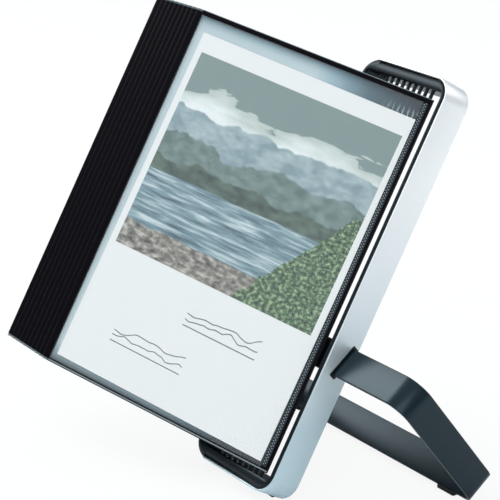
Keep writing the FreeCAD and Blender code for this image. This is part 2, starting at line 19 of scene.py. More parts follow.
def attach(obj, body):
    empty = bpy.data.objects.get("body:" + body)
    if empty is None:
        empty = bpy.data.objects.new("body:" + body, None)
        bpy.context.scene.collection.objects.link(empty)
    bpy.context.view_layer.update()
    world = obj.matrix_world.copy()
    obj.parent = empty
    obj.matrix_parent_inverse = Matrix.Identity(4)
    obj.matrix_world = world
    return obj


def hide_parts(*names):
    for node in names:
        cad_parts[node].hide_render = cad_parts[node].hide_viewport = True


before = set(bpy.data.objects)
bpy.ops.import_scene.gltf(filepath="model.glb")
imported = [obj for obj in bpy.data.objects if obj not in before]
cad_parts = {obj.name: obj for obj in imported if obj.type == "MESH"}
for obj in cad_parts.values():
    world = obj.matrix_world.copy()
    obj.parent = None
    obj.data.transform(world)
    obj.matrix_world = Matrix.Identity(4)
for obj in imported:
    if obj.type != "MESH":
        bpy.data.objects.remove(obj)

log = logging.getLogger("pocket_stand")
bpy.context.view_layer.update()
Point2 = tuple[float, float]
Point3 = tuple[float, float, float]


# ---- colour and node helpers


def hex_linear(code: str) -> tuple[float, float, float, float]:
    """Turn an sRGB hex colour into linear RGBA.

    Args:
        code: six hex digits, such as "2E3A40".

    Returns:
        Red, green, blue and alpha between 0 and 1.
    """
    channels = [int(code[i : i + 2], 16) / 255 for i in (0, 2, 4)]
    linear = [c / 12.92 if c <= 0.04045 else ((c + 0.055) / 1.055) ** 2.4 for c in channels]
    return (linear[0], linear[1], linear[2], 1.0)


def add_node(tree: bpy.types.NodeTree, kind: str, settings: dict | None = None, links: dict | None = None):
    """Add one node with its settings and links.

    Args:
        tree: the node tree.
        kind: the node's type name.
        settings: attribute values, or socket values under the socket's name or number.
        links: input socket name or number to the output socket that feeds it.

    Returns:
        The new node.
    """
    node = tree.nodes.new(kind)
    for key, value in (settings or {}).items():
        if isinstance(key, int) or key in node.inputs:
            node.inputs[key].default_value = value
        else:
            setattr(node, key, value)
    for key, source in (links or {}).items():
        tree.links.new(source, node.inputs[key])
    return node


def new_material(name: str) -> tuple[bpy.types.Material, bpy.types.NodeTree]:
    """An empty node material and its tree."""
    material = bpy.data.materials.new(name)
    material.use_nodes = True
    material.node_tree.nodes.clear()
    return material, material.node_tree


def scaled(tree: bpy.types.NodeTree, value, low: float, high: float, clamp: bool = False):
    """Rescale a socket so that low is 0 and high is 1."""
    settings = {"clamp": clamp, "From Min": low, "From Max": high}
    return add_node(tree, "ShaderNodeMapRange", settings, {"Value": value}).outputs["Result"]


def joined(tree: bpy.types.NodeTree, operation: str, a, b):
    """Join two sockets or numbers with one Math node."""
    node = add_node(tree, "ShaderNodeMath", {"operation": operation})
    for i, item in enumerate((a, b)):
        if isinstance(item, (int, float)):
            node.inputs[i].default_value = item
        else:
            tree.links.new(item, node.inputs[i])
    return node.outputs[0]


def layered(tree: bpy.types.NodeTree, below, above, mask):
    """Lay one colour over another where the mask is 1; a colour is a socket or linear RGBA."""
    mix = add_node(tree, "ShaderNodeMix", {"data_type": "RGBA"}, {0: mask})
    for index, item in ((6, below), (7, above)):
        if isinstance(item, tuple):
            mix.inputs[index].default_value = item
        else:
            tree.links.new(item, mix.inputs[index])
    return mix.outputs[2]


def ramp(tree: bpy.types.NodeTree, value, stops: Sequence[tuple[float, str]]):
    """A colour ramp through hex colours."""
    node = add_node(tree, "ShaderNodeValToRGB", None, {"Fac": value})
    elements = node.color_ramp.elements
    while len(elements) < len(stops):
        elements.new(0.5)
    for element, (position, code) in zip(elements, stops):
        element.position = position
        element.color = hex_linear(code)
    return node.outputs["Color"]


# ---- finishes


class Grain(Enum):
    """How the surface was made, for its fine relief."""

    NONE = "none"
    MOULDED = "moulded"


@dataclass(frozen=True)
class SolidFinish:
    """An opaque finish of one base colour.

    The grain sizes are millimetres on the object.
    """

    name: str
    colour: str
    roughness: float
    metallic: float = 0.0
    coat: float = 0.0
    specular: float = 0.5
    sheen: str = "FFFFFF"
    grain: Grain = Grain.NONE
    grain_mm: float = 0.5
    relief: float = 0.05

    def build(self) -> bpy.types.Material:
        """Make the material.

        Returns:
            The finished material.
        """
        material, tree = new_material(self.name)
        shader = add_node(
            tree,
            "ShaderNodeBsdfPrincipled",
            {
                "Base Color": hex_linear(self.colour),
                "Roughness": self.roughness,
                "Metallic": self.metallic,
                "Specular IOR Level": self.specular,
                "Specular Tint": hex_linear(self.sheen),
                "Coat Weight": self.coat,
                "Coat Roughness": 0.2,
            },
        )
        if self.grain is not Grain.NONE:
            place = add_node(tree, "ShaderNodeTexCoord")
            noise = add_node(
                tree,
                "ShaderNodeTexNoise",
                {"Scale": 1000 / self.grain_mm, "Detail": 2.0},
                {"Vector": place.outputs["Object"]},
            )
            bump = add_node(
                tree,
                "ShaderNodeBump",
                {"Strength": self.relief, "Distance": 0.0002},
                {"Height": noise.outputs["Fac"]},
            )
            tree.links.new(bump.outputs["Normal"], shader.inputs["Normal"])
        add_node(tree, "ShaderNodeOutputMaterial", None, {"Surface": shader.outputs["BSDF"]})
        return material


@dataclass(frozen=True)
class AluminiumFinish:
    """Satin anodised aluminium, finely brushed; its colour ramp over height is painted light, nearly white high up
    where the overhead light falls and a cool blue-grey near the desk.
    """

    name: str
    painted_light_tones: tuple[tuple[float, str], ...] = (
        (0.05, "C2D5DC"), (0.2, "BED1D8"), (0.5, "DFE5E8"), (0.8, "F6F7F7"),
    )
    top_mm: float = 300.0
    roughness: float = 0.42
    metallic: float = 0.6

    def build(self) -> bpy.types.Material:
        """Make the material.

        Returns:
            The finished material.
        """
        material, tree = new_material(self.name)
        place = add_node(tree, "ShaderNodeTexCoord")
        parts = add_node(tree, "ShaderNodeSeparateXYZ", None, {0: place.outputs["Object"]})
        # painted light: the colour runs from blue-grey near the desk to nearly white high up
        painted_light_tone = ramp(tree, scaled(tree, parts.outputs["Z"], 0.0, self.top_mm / 1000), self.painted_light_tones)
        turn = add_node(
            tree,
            "ShaderNodeMapping",
            {"Rotation": (LEAN, 0.0, 0.0), "Scale": (4000.0, 4000.0, 50.0)},
            {"Vector": place.outputs["Object"]},
        )
        noise = add_node(tree, "ShaderNodeTexNoise", {"Scale": 1.0, "Detail": 2.0}, {"Vector": turn.outputs[0]})
        bump = add_node(
            tree, "ShaderNodeBump", {"Strength": 0.05, "Distance": 0.0002}, {"Height": noise.outputs["Fac"]}
        )
        shader = add_node(
            tree,
            "ShaderNodeBsdfPrincipled",
            {"Roughness": self.roughness, "Metallic": self.metallic},
            {"Base Color": painted_light_tone, "Normal": bump.outputs["Normal"]},
        )
        add_node(tree, "ShaderNodeOutputMaterial", None, {"Surface": shader.outputs["BSDF"]})
        return material


@dataclass(frozen=True)
class FilmFinish:
    """Thin clear film: part of the light goes straight through, the rest meets the glossy surface."""

    name: str
    colour: str
    haze: float
    roughness: float

    def build(self) -> bpy.types.Material:
        """Make the material.

        Returns:
            The finished material.
        """
        material, tree = new_material(self.name)
        surface = add_node(
            tree,
            "ShaderNodeBsdfPrincipled",
            {"Base Color": hex_linear(self.colour), "Roughness": self.roughness},
        )
        through = add_node(tree, "ShaderNodeBsdfTransparent")
        mix = add_node(
            tree,
            "ShaderNodeMixShader",
            {0: self.haze},
            {1: through.outputs["BSDF"], 2: surface.outputs["BSDF"]},
        )
        add_node(tree, "ShaderNodeOutputMaterial", None, {"Surface": mix.outputs["Shader"]})
        return material


@dataclass(frozen=True)
class PaintedShadeFilmFinish:
    """Frosted film of the front pocket with painted shade: darker below its head strip, above its foot strip and
    towards the hinge, standing in for the dark strips and the arm seen through it and the shade where the pages
    crowd; near the hinge it has pale wavy bands of painted reflection.

    Its UV map counts reach and height on the page, divided by the page's width and height.
    """

    name: str
    width: float = 227.6
    height: float = 319.0
    head: float = 4.2
    foot: float = 3.0

    def build(self) -> bpy.types.Material:
        """Make the material.

        Returns:
            The finished material.
        """
        material, tree = new_material(self.name)
        uv = add_node(tree, "ShaderNodeUVMap", {"uv_map": "PageMap"})
        parts = add_node(tree, "ShaderNodeSeparateXYZ", None, {0: uv.outputs["UV"]})
        reach = parts.outputs["X"]
        below = scaled(tree, parts.outputs["Y"], 1 - self.head / self.height, 1 - (self.head + 16.0) / self.height)
        above = scaled(tree, parts.outputs["Y"], self.foot / self.height, (self.foot + 16.0) / self.height)
        # painted shadow: darker just below the head strip, fading down the film
        head = ramp(
            tree, below, ((0.0, "44575D"), (0.15, "7D98A0"), (0.32, "A3B8BD"), (0.5, "BACACE"), (0.8, "C8D7DA"))
        )
        # painted shade: darker towards the hinge, for the dark strips behind and the shade where the pages crowd
        across = ramp(
            tree,
            reach,
            ((0.02, "263238"), (0.15, "53656D"), (0.22, "687E88"), (0.31, "A6BCC4"), (0.37, "D0E0E8"), (0.45, "FFFFFF")),
        )
        # painted shade: darker just above the foot strip
        foot = ramp(tree, above, ((0.0, "3A4347"), (0.08, "757F84"), (0.25, "A2ACB0"), (1.0, "FFFFFF")))
        colour = self._times(tree, self._times(tree, head, across), foot)
        # painted reflections: pale wavy bands near the hinge in the film's upper part
        wobble = add_node(
            tree, "ShaderNodeTexNoise", {"Scale": 60.0, "Detail": 1.0}, {"Vector": uv.outputs["UV"]}
        )
        shifted = joined(tree, "ADD", joined(tree, "MULTIPLY", reach, self.width / 4.5),
                         joined(tree, "MULTIPLY", wobble.outputs["Fac"], 0.8))
        reflection_bands = joined(tree, "SINE", joined(tree, "MULTIPLY", shifted, 2 * math.pi), 0.0)
        reflection_strength = joined(tree, "MULTIPLY", scaled(tree, reflection_bands, 0.0, 1.0, clamp=True),
                          scaled(tree, reach, 0.17, 0.10, clamp=True))
        reflection_strength = joined(tree, "MULTIPLY", reflection_strength, scaled(tree, below, 0.45, 0.75, clamp=True))
        reflection_strength = joined(tree, "MULTIPLY", reflection_strength, scaled(tree, above, 12.0, 13.0, clamp=True))
        colour = layered(tree, colour, hex_linear("8FA0A7"), reflection_strength)
        shader = add_node(tree, "ShaderNodeBsdfPrincipled", {"Roughness": 0.35}, {"Base Color": colour})
        add_node(tree, "ShaderNodeOutputMaterial", None, {"Surface": shader.outputs["BSDF"]})
        return material

    @staticmethod
    def _times(tree: bpy.types.NodeTree, a, b):
        """Two colours multiplied."""
        mix = add_node(tree, "ShaderNodeMix", {"data_type": "RGBA", "blend_type": "MULTIPLY", 0: 1.0}, {6: a, 7: b})
        return mix.outputs[2]


@dataclass(frozen=True)
class PaperFinish:
    """Coated paper with a printed landscape, drawn from the sheet's own UV map.

    The UV map counts millimetres across and up the sheet, divided by its width and height.
    """

    name: str = "coated_paper_print"
    width: float = 210.0
    height: float = 297.0
    picture_left: float = 6.0
    picture_right: float = 204.0
    picture_low: float = 107.0
    picture_high: float = 281.0
    sketches: tuple[tuple[float, float, float, float, float], ...] = (
        (96.0, 168.0, 68.0, 92.0, 51.0),
        (40.0, 112.0, 30.0, 52.0, 67.0),
    )

    def build(self) -> bpy.types.Material:
        """Make the material.

        Returns:
            The finished material.
        """
        material, tree = new_material(self.name)
        uv = add_node(tree, "ShaderNodeUVMap", {"uv_map": "SheetMap"})
        parts = add_node(tree, "ShaderNodeSeparateXYZ", None, {0: uv.outputs["UV"]})
        across = scaled(tree, parts.outputs["X"], self.picture_left / self.width, self.picture_right / self.width)
        up = scaled(tree, parts.outputs["Y"], self.picture_low / self.height, self.picture_high / self.height)
        colour = layered(
            tree, hex_linear("F0F0EE"), self._landscape(tree, across, up), self._inside(tree, across, up)
        )
        for left, right, low, high, seed in self.sketches:
            across = scaled(tree, parts.outputs["X"], left / self.width, right / self.width)
            up = scaled(tree, parts.outputs["Y"], low / self.height, high / self.height)
            colour = layered(tree, colour, hex_linear("5E686C"), self._sketch(tree, across, up, seed))
        shader = add_node(tree, "ShaderNodeBsdfPrincipled", {"Roughness": 0.45}, {"Base Color": colour})
        add_node(tree, "ShaderNodeOutputMaterial", None, {"Surface": shader.outputs["BSDF"]})
        return material

    def _inside(self, tree: bpy.types.NodeTree, across, up):
        """1 inside the picture's rectangle and 0 on the bare paper."""
        result = joined(tree, "GREATER_THAN", across, 0.0)
        for test, value, limit in (("LESS_THAN", across, 1.0), ("GREATER_THAN", up, 0.0), ("LESS_THAN", up, 1.0)):
            result = joined(tree, "MULTIPLY", result, joined(tree, test, value, limit))
        return result

    def _sketch(self, tree: bpy.types.NodeTree, across, up, seed: float):
        """Thin outlines of two hills over a level line, inside their own small rectangle."""
        result = self._stroke(tree, up, 0.06, 0.02)
        for base, swing, scale in ((0.62, 0.9, 2.6), (0.36, 0.6, 4.4)):
            line = self._noise(tree, across, 0.0, (scale, 0.0), seed + base, 1.0)
            height = joined(tree, "ADD", joined(tree, "MULTIPLY", line, swing), base - swing / 2)
            result = joined(tree, "MAXIMUM", result, self._stroke(tree, up, height, 0.02))
        return joined(tree, "MULTIPLY", result, self._inside(tree, across, up))

    @staticmethod
    def _stroke(tree: bpy.types.NodeTree, up, height, half: float):
        """1 where up is within half of a height, which is a number or a socket."""
        gap = joined(tree, "ABSOLUTE", joined(tree, "SUBTRACT", up, height), 0.0)
        return joined(tree, "LESS_THAN", gap, half)

    def _noise(self, tree: bpy.types.NodeTree, across, up, scale: Point2, seed: float, detail: float = 4.0):
        """Noise over the picture with its own scale each way and a fixed seed."""
        place = add_node(
            tree,
            "ShaderNodeCombineXYZ",
            {"Z": seed},
            {
                "X": joined(tree, "MULTIPLY", across, scale[0]),
                "Y": joined(tree, "MULTIPLY", up, scale[1]),
            },
        )
        noise = add_node(
            tree,
            "ShaderNodeTexNoise",
            {"Scale": 1.0, "Detail": detail, "Roughness": 0.55},
            {"Vector": place.outputs["Vector"]},
        )
        return noise.outputs["Fac"]

    def _ridge(self, tree: bpy.types.NodeTree, across, up, base: float, swing: float, scale: float, seed: float):
        """A soft-edged mask below a wandering ridge line."""
        line = self._noise(tree, across, 0.0, (scale, 0.0), seed, 5.0)
        height = joined(tree, "ADD", joined(tree, "MULTIPLY", line, swing), base - swing / 2)
        return scaled(tree, joined(tree, "SUBTRACT", height, up), -0.004, 0.004, clamp=True)

    def _landscape(self, tree: bpy.types.NodeTree, across, up):
        """A misty lake valley in pale grey-green, teal, blue and warm grey."""
        clouds = self._noise(tree, across, up, (3.0, 9.0), 1.7, 6.0)
        sky_value = joined(tree, "ADD", up, joined(tree, "MULTIPLY", clouds, 0.35))
        picture = ramp(tree, sky_value, ((0.9, "EEF2F0"), (1.0, "B9C6BE"), (1.1, "9AAAA4"), (1.2, "7F928F")))
        layers = (
            (0.74, 0.24, 3.0, 4.1, ("AEBFC2", "8299A0")),
            (0.60, 0.22, 4.5, 9.3, ("7F948F", "566E69")),
            (0.48, 0.18, 7.0, 15.9, ("5E7262", "2F4038")),
        )
        for base, swing, scale, seed, (light, dark) in layers:
            grain = self._noise(tree, across, up, (14.0, 20.0), seed + 0.5, 6.0)
            colour = ramp(tree, grain, ((0.35, dark), (0.65, light)))
            picture = layered(tree, picture, colour, self._ridge(tree, across, up, base, swing, scale, seed))
        ripple = self._noise(tree, across, up, (5.0, 46.0), 23.0, 5.0)
        water = ramp(tree, ripple, ((0.32, "35525C"), (0.5, "7C99A2"), (0.68, "D2DEE0")))
        picture = layered(tree, picture, water, self._ridge(tree, across, up, 0.40, 0.03, 5.0, 31.0))
        stones = self._noise(tree, across, up, (26.0, 40.0), 37.0, 3.0)
        beach = ramp(tree, stones, ((0.3, "3B3935"), (0.5, "857E74"), (0.7, "C9C4BA")))
        picture = layered(tree, picture, beach, self._ridge(tree, across, up, 0.13, 0.16, 2.2, 41.0))
        leaves = self._noise(tree, across, up, (60.0, 60.0), 53.0, 4.0)
        wood = ramp(tree, leaves, ((0.35, "1D2A20"), (0.5, "4C6B45"), (0.68, "A9BF92")))
        slope = joined(tree, "SUBTRACT", up, joined(tree, "MULTIPLY", across, 1.5))
        picture = layered(tree, picture, wood, self._ridge(tree, across, slope, -0.9, 0.3, 9.0, 59.0))
        return picture


class Finish(Enum):
    """Every finish of the stand, under a maker's plain name."""

    # Injection-moulded ABS: near black with a soft sheen and a fine texture
    CORE = SolidFinish(
        "moulded_abs_black", "080B0F", 0.36, specular=0.28, sheen="D4F2FF", grain=Grain.MOULDED, grain_mm=0.5, relief=0.05
    )
    # Smooth polypropylene profile: glossy near black with a purple cast
    PAGE = SolidFinish("glossy_pp_profile", "070609", 0.34, specular=0.1, sheen="E6DEF2")
    # Anodised aluminium: pale silver, satin, with a faint lengthwise brushing and painted light, lighter high up
    # and blue-grey low down
    SHELL = AluminiumFinish("satin_anodised_aluminium_painted_light")
    # Powder-coated steel strip: anthracite, fine satin
    FOOT = SolidFinish(
        "powder_coated_steel", "0D1A21", 0.3, specular=0.38, sheen="D4F2FF", grain=Grain.MOULDED, grain_mm=0.4, relief=0.04
    )
    # Moulded nylon bush: dull black
    BUSH = SolidFinish("moulded_nylon_black", "0C0E10", 0.5, specular=0.3)
    # Natural rubber: dull black with no sheen
    RUBBER = SolidFinish("black_rubber", "131415", 0.75)
    # Smoky end cap of the page profile: greyish translucent plastic
    CAP = SolidFinish("smoky_end_cap", "56636A", 0.25, coat=0.3)
    # Film border along the strips: the film's real edge, painted pale as a painted highlight where it glints
    GLINT_LIP = SolidFinish("film_border_painted_glint", "7D898E", 0.35)
    # Smoky border of the front film where it is welded to the black strip
    BORDER = SolidFinish("smoky_film_border", "252D32", 0.3, specular=0.3)
    # Milky weld spots of the pocket seam
    WELD = SolidFinish("milky_weld", "8F9A9F", 0.4)
    # Clear polypropylene film, front of the pocket
    CLEAR = FilmFinish("clear_pp_film", "DDE6EA", 0.05, 0.08)
    # Frosted polypropylene film, back of the pocket
    FROSTED = FilmFinish("frosted_pp_film", "C3D0D6", 0.72, 0.35)
    # The same film in the front pocket, with painted shade near its strips and towards the hinge and painted
    # reflections near the hinge
    FROSTED_FRONT_PAINTED_SHADE = PaintedShadeFilmFinish("frosted_pp_film_front_painted_shade")
    # Coated paper with its print
    PAPER = PaperFinish()

    @property
    def material(self) -> bpy.types.Material:
        """The finish's material, made on first use."""
        found = bpy.data.materials.get(self.value.name)
        return found or self.value.build()


# ---- places


LEAN = math.radians(30.0)


@dataclass(frozen=True)
class Lean:
    """Where the leaning frame stands in the row frame."""

    lift: float = 1.0
    shift: float = 1.7320508

    @property
    def matrix(self) -> Matrix:
        """Frame coordinates in millimetres, as (across, -depth, height), to the row frame in metres."""
        scale = Matrix.Diagonal((0.001, 0.001, 0.001, 1.0))
        return scale @ Matrix.Translation((0.0, self.shift, self.lift)) @ Matrix.Rotation(-LEAN, 4, "X")


@dataclass(frozen=True)
class RingSeat:
    """Where the ring foot passes through the frame."""

    height: float = 119.0
    depth: float = 10.0
    angle: float = 67.8

    @property
    def matrix(self) -> Matrix:
        """Ring coordinates (across, through the strip's width, in the ring's plane) to the row frame."""
        turn = Matrix.Rotation(math.radians(self.angle), 4, "X")
        return Lean().matrix @ Matrix.Translation((0.0, -self.depth, self.height)) @ turn


@dataclass(frozen=True)
class PageSeat:
    """Where one page hangs, counted from the front one."""

    number: int
    count: int = 10
    pitch: float = 7.1
    depth: float = 22.2
    floor: float = 15.0
    front_angle: float = 22.9
    fan_step: float = 0.12

    @property
    def matrix(self) -> Matrix:
        """Page coordinates (reach, off, height) to the row frame."""
        across = self.pitch * (self.count - 1) / 2 - self.pitch * (self.number - 1)
        angle = math.radians(180.0 + self.front_angle - self.fan_step * (self.number - 1))
        hinge = Matrix.Translation((across, -self.depth, self.floor)) @ Matrix.Rotation(angle, 4, "Z")
        return Lean().matrix @ hinge

    @property
    def tag(self) -> str:
        """The page's number in node names."""
        return f"{self.number:02d}"

    @property
    def body(self) -> str:
        """The page's body."""
        return f"page_{self.tag}"


# ---- mesh helpers


def make_piece(
    name: str,
    points: Iterable[Sequence[float]],
    faces: Iterable[Sequence[int]],
    matrix: Matrix,
    finish: Finish,
    sharp_degrees: float = 40.0,
) -> bpy.types.Object:
    """Make one mesh object at the origin, its place in its vertices.

    Args:
        name: the piece's name.
        points: vertices in the maker's own coordinates.
        faces: vertex numbers of each face.
        matrix: from those coordinates to the row frame.
        finish: what the piece is made of.
        sharp_degrees: edges that turn more than this stay sharp.

    Returns:
        The new object.
    """
    mesh = bpy.data.meshes.new(name)
    mesh.from_pydata([matrix @ Vector(p) for p in points], [], [tuple(f) for f in faces])
    mesh.validate()
    piece = bpy.data.objects.new(name, mesh)
    bpy.context.scene.collection.objects.link(piece)
    turn_outwards(mesh)
    mesh.materials.append(finish.material)
    mesh.shade_smooth()
    mesh.set_sharp_from_angle(angle=math.radians(sharp_degrees))
    return piece


def turn_outwards(mesh: bpy.types.Mesh) -> None:
    """Make every face of a closed mesh point outwards."""
    import bmesh

    work = bmesh.new()
    work.from_mesh(mesh)
    bmesh.ops.remove_doubles(work, verts=work.verts, dist=1e-7)
    bmesh.ops.recalc_face_normals(work, faces=work.faces)
    work.to_mesh(mesh)
    work.free()


def map_flat(
    piece: bpy.types.Object, name: str, place: Matrix, reach: tuple[float, float], height: tuple[float, float]
) -> None:
    """Give a flat piece a UV map that runs along its reach and height.

    Args:
        piece: the mesh object.
        name: the map's name.
        place: from the piece's own coordinates in millimetres to the row frame.
        reach: where U is 0 and where it is 1.
        height: where V is 0 and where it is 1.
    """
    uv = piece.data.uv_layers.new(name=name)
    back = place.inverted()
    for loop in piece.data.loops:
        spot = back @ piece.data.vertices[loop.vertex_index].co
        uv.data[loop.index].uv = (
            (spot.x - reach[0]) / (reach[1] - reach[0]), (spot.z - height[0]) / (height[1] - height[0])
        )


def settle(piece: bpy.types.Object, body: str, slot: str, *nodes: str) -> bpy.types.Object:
    """Let a piece ride on its body and hide the nodes it stands for."""
    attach(piece, body)
    if nodes:
        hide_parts(*nodes)
    log.info("made %s", piece.name)
    return piece


def rounded_rectangle(
    left: float,
    right: float,
    low: float,
    high: float,
    radius: float,
    arc_steps: int = 10,
    low_radius: float | None = None,
) -> list[Point2]:
    """Outline of a rounded rectangle, counter-clockwise from the lower right corner's start.

    Args:
        left: lowest across.
        right: highest across.
        low: lowest height.
        high: highest height.
        radius: corner radius.
        arc_steps: steps in each corner.
        low_radius: radius of the two lower corners, where it differs.

    Returns:
        The outline's points.
    """
    foot = radius if low_radius is None else low_radius
    corners = (
        (right - foot, low + foot, foot, -90.0),
        (right - radius, high - radius, radius, 0.0),
        (left + radius, high - radius, radius, 90.0),
        (left + foot, low + foot, foot, 180.0),
    )
    points = []
    for cx, cz, bend, start in corners:
        for i in range(arc_steps + 1):
            a = math.radians(start + 90.0 * i / arc_steps)
            points.append((cx + bend * math.cos(a), cz + bend * math.sin(a)))
    return points


def loft(
    outer: Sequence[Point2],
    inner: Sequence[Point2],
    section: Sequence[Callable[[int], tuple[float, float]] | tuple[float, float]],
    closed: bool,
) -> tuple[list[Point3], list[tuple[int, ...]]]:
    """Carry a closed cross-section along two matching outlines.

    Args:
        outer: the outline where the section's share is 0.
        inner: the outline where the share is 1.
        section: (share, depth) pairs, or functions of the outline point's number that give them.
        closed: whether the outlines close on themselves.

    Returns:
        Points (across, -depth, height) and faces.
    """
    points: list[Point3] = []
    for i, (a, b) in enumerate(zip(outer, inner)):
        for item in section:
            share, depth = item(i) if callable(item) else item
            points.append((a[0] + (b[0] - a[0]) * share, -depth, a[1] + (b[1] - a[1]) * share))
    n, m = len(section), len(outer)
    faces: list[tuple[int, ...]] = []
    for i in range(m if closed else m - 1):
        k = (i + 1) % m
        for j in range(n):
            l = (j + 1) % n
            faces.append((i * n + j, i * n + l, k * n + l, k * n + j))
    if not closed:
        faces.append(tuple(range(n)))
        faces.append(tuple(reversed(range((m - 1) * n, m * n))))
    return points, faces


def extrude(
    outline: Sequence[Point2], low: float, high: float, end_round: float = 0.0, steps: int = 4
) -> tuple[list[Point3], list[tuple[int, ...]]]:
    """A prism along height whose ends may narrow in a round.

    Args:
        outline: (reach, off) points round the section, about its own middle.
        low: lowest height.
        high: highest height.
        end_round: how far from each end the section begins to narrow.
        steps: steps of that narrowing.

    Returns:
        Points and faces.
    """
    mid_x = (max(p[0] for p in outline) + min(p[0] for p in outline)) / 2
    mid_y = (max(p[1] for p in outline) + min(p[1] for p in outline)) / 2
    half = min(
        (max(p[0] for p in outline) - min(p[0] for p in outline)) / 2,
        (max(p[1] for p in outline) - min(p[1] for p in outline)) / 2,
    )
    levels: list[tuple[float, float]] = []
    for i in range(steps + 1 if end_round > 0 else 1):
        a = math.pi / 2 * i / steps
        levels.append((low + end_round * (1 - math.cos(a)), end_round * (1 - math.sin(a))))
    levels += [(high - (z - low), inset) for z, inset in reversed(levels)]
    points: list[Point3] = []
    for z, inset in levels:
        k = 1 - min(inset, half * 0.9) / half
        wide = max(p[0] for p in outline) - mid_x
        kx = (wide - min(inset, half * 0.9)) / wide
        points += [(mid_x + (x - mid_x) * kx, mid_y + (y - mid_y) * k, z) for x, y in outline]
    n, m = len(outline), len(levels)
    faces: list[tuple[int, ...]] = [
        (i * n + j, i * n + (j + 1) % n, (i + 1) * n + (j + 1) % n, (i + 1) * n + j)
        for i in range(m - 1)
        for j in range(n)
    ]
    faces.append(tuple(reversed(range(n))))
    faces.append(tuple(range((m - 1) * n, m * n)))
    return points, faces


def block(low: Point3, high: Point3) -> tuple[list[Point3], list[tuple[int, ...]]]:
    """A plain box from two corners."""
    xs, ys, zs = zip(low, high)
    points = [(x, y, z) for z in zs for y in ys for x in xs]
    faces = [(0, 2, 3, 1), (4, 5, 7, 6), (0, 1, 5, 4), (2, 6, 7, 3), (0, 4, 6, 2), (1, 3, 7, 5)]
    return points, faces


# ---- the stand


@dataclass
class StandFrame:
    """Moulded core with its convex front, and the aluminium shell bent round it."""

    width: float = 105.0
    height: float = 352.0
    depth: float = 27.0
    corner: float = 17.0
    wall: float = 6.0
    arm: float = 11.4
    window_corner: float = 3.0
    shell: float = 1.5
    seam: float = 0.1
    front_fall: float = 4.2
    mouth: float = 1.0

    @property
    def step(self) -> float:
        """Where the shell starts on the arms."""
        return self.corner - self.width / 2

    def outlines(self) -> tuple[list[Point2], list[Point2]]:
        """The core's outer outline, stepped back under the shell, and the window's outline."""
        half = self.width / 2
        inset = self.shell + self.seam
        full = rounded_rectangle(-half, half, 0.0, self.height, self.corner)
        back = rounded_rectangle(-half, half - inset, inset, self.height - inset, self.corner - inset)
        window = rounded_rectangle(
            -half + self.wall, half - self.wall, self.arm, self.height - self.arm, self.window_corner
        )
        per = len(full) // 4
        right = list(range(0, 2 * per))
        left = list(range(2 * per, 4 * per))
        outer = [back[i] for i in right]
        inner = [window[i] for i in right]
        step_in = self.step
        outer += [(step_in, self.height - inset), (step_in - 0.02, self.height)]
        inner += [(step_in, self.height - self.arm), (step_in - 0.02, self.height - self.arm)]
        outer += [full[i] for i in left]
        inner += [window[i] for i in left]
        outer += [(step_in - 0.02, 0.0), (step_in, inset)]
        inner += [(step_in - 0.02, self.arm), (step_in, self.arm)]
        return outer, inner

    def core_section(self) -> list[tuple[float, float]]:
        """Section of the core: flat back, straight outside, a convex front and a rounded mouth."""
        section = [(0.06, 0.0), (0.0, 0.6), (0.0, self.depth - self.front_fall)]
        for i in range(1, 11):
            a = math.pi / 2 * i / 10
            section.append((0.62 * (1 - math.cos(a)), self.depth - self.front_fall * (1 - math.sin(a))))
        section += [(0.84, self.depth), (0.93, self.depth - 0.3), (0.98, self.depth - 0.7)]
        section += [(1.0, self.depth - 1.6), (1.0, 0.8), (0.9, 0.0)]
        return section

    def build(self) -> None:
        """Make the core and the shell."""
        outer, inner = self.outlines()
        points, faces = loft(outer, inner, self.core_section(), closed=True)
        core = make_piece("frame_core", points, faces, Lean().matrix, Finish.CORE, 35.0)
        settle(core, "stand", "black_plastic", "core_frame")
        self.build_shell()

    def build_shell(self) -> None:
        """Make the aluminium shell with rounded lips."""
        half = self.width / 2
        full = rounded_rectangle(-half, half, 0.0, self.height, self.corner, 16)
        back = rounded_rectangle(
            -half, half - self.shell, self.shell, self.height - self.shell, self.corner - self.shell, 16
        )
        per = len(full) // 4
        start = self.step + self.seam
        outer = [(start, 0.0)] + full[: 2 * per] + [(start, self.height)]
        inner = [(start, self.shell)] + back[: 2 * per] + [(start, self.height - self.shell)]
        points, faces = loft(outer, inner, strip_section(self.shell, self.depth, 0.62), closed=False)
        shell = make_piece("frame_shell", points, faces, Lean().matrix, Finish.SHELL, 40.0)
        settle(shell, "stand", "anodised_aluminium", "side_shell")


def strip_section(thickness: float, width: float, radius: float, steps: int = 4, base: float = 0.0):
    """Section of a flat strip with rounded edges, as (share of thickness, depth) pairs.

    Args:
        thickness: the strip's thickness.
        width: the strip's width, along depth.
        radius: radius of its four edges.
        steps: steps in each edge.
        base: depth of its first edge.

    Returns:
        The pairs in order round the section.
    """
    centres = (
        (radius, base + radius, 180.0),
        (radius, base + width - radius, 90.0),
        (thickness - radius, base + width - radius, 0.0),
        (thickness - radius, base + radius, -90.0),
    )
    first = {180.0: 270.0, 90.0: 180.0, 0.0: 90.0, -90.0: 0.0}
    pairs = []
    for share, depth, key in centres:
        for i in range(steps + 1):
            a = math.radians(first[key] - 90.0 * i / steps)
            pairs.append(((share + radius * math.cos(a)) / thickness, depth + radius * math.sin(a)))
    return pairs


